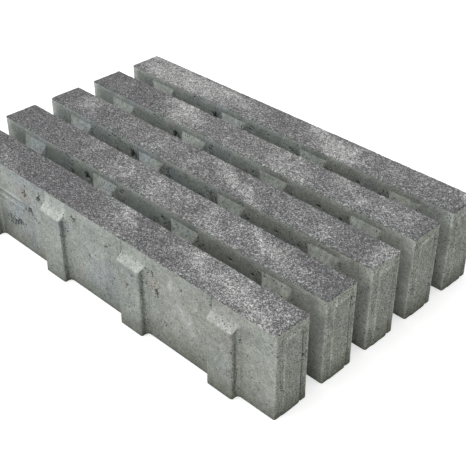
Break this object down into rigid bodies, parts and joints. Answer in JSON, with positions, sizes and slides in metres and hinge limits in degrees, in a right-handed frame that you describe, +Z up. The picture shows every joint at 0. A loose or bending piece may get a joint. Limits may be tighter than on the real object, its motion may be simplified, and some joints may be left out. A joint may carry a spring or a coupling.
{
  "type": "concrete paving stone",
  "caption": "Concrete lamella paving stone: parallel upright bars cast as one block with low cross webs, leaving straight slots for grass, and spacer nubs on its sides.",
  "frame": {"origin": "middle of the underside", "axes": "+X along the bars, +Y across them, +Z up out of the walking surface"},
  "size_m": [0.6, 0.3886, 0.12],
  "materials": {
    "concrete": "rough cast concrete, grey-green on the sides, with a darker exposed fine grain on top"
  },
  "bodies": {
    "root": {"paving_stone": "concrete"}
  },
  "joints": []
}
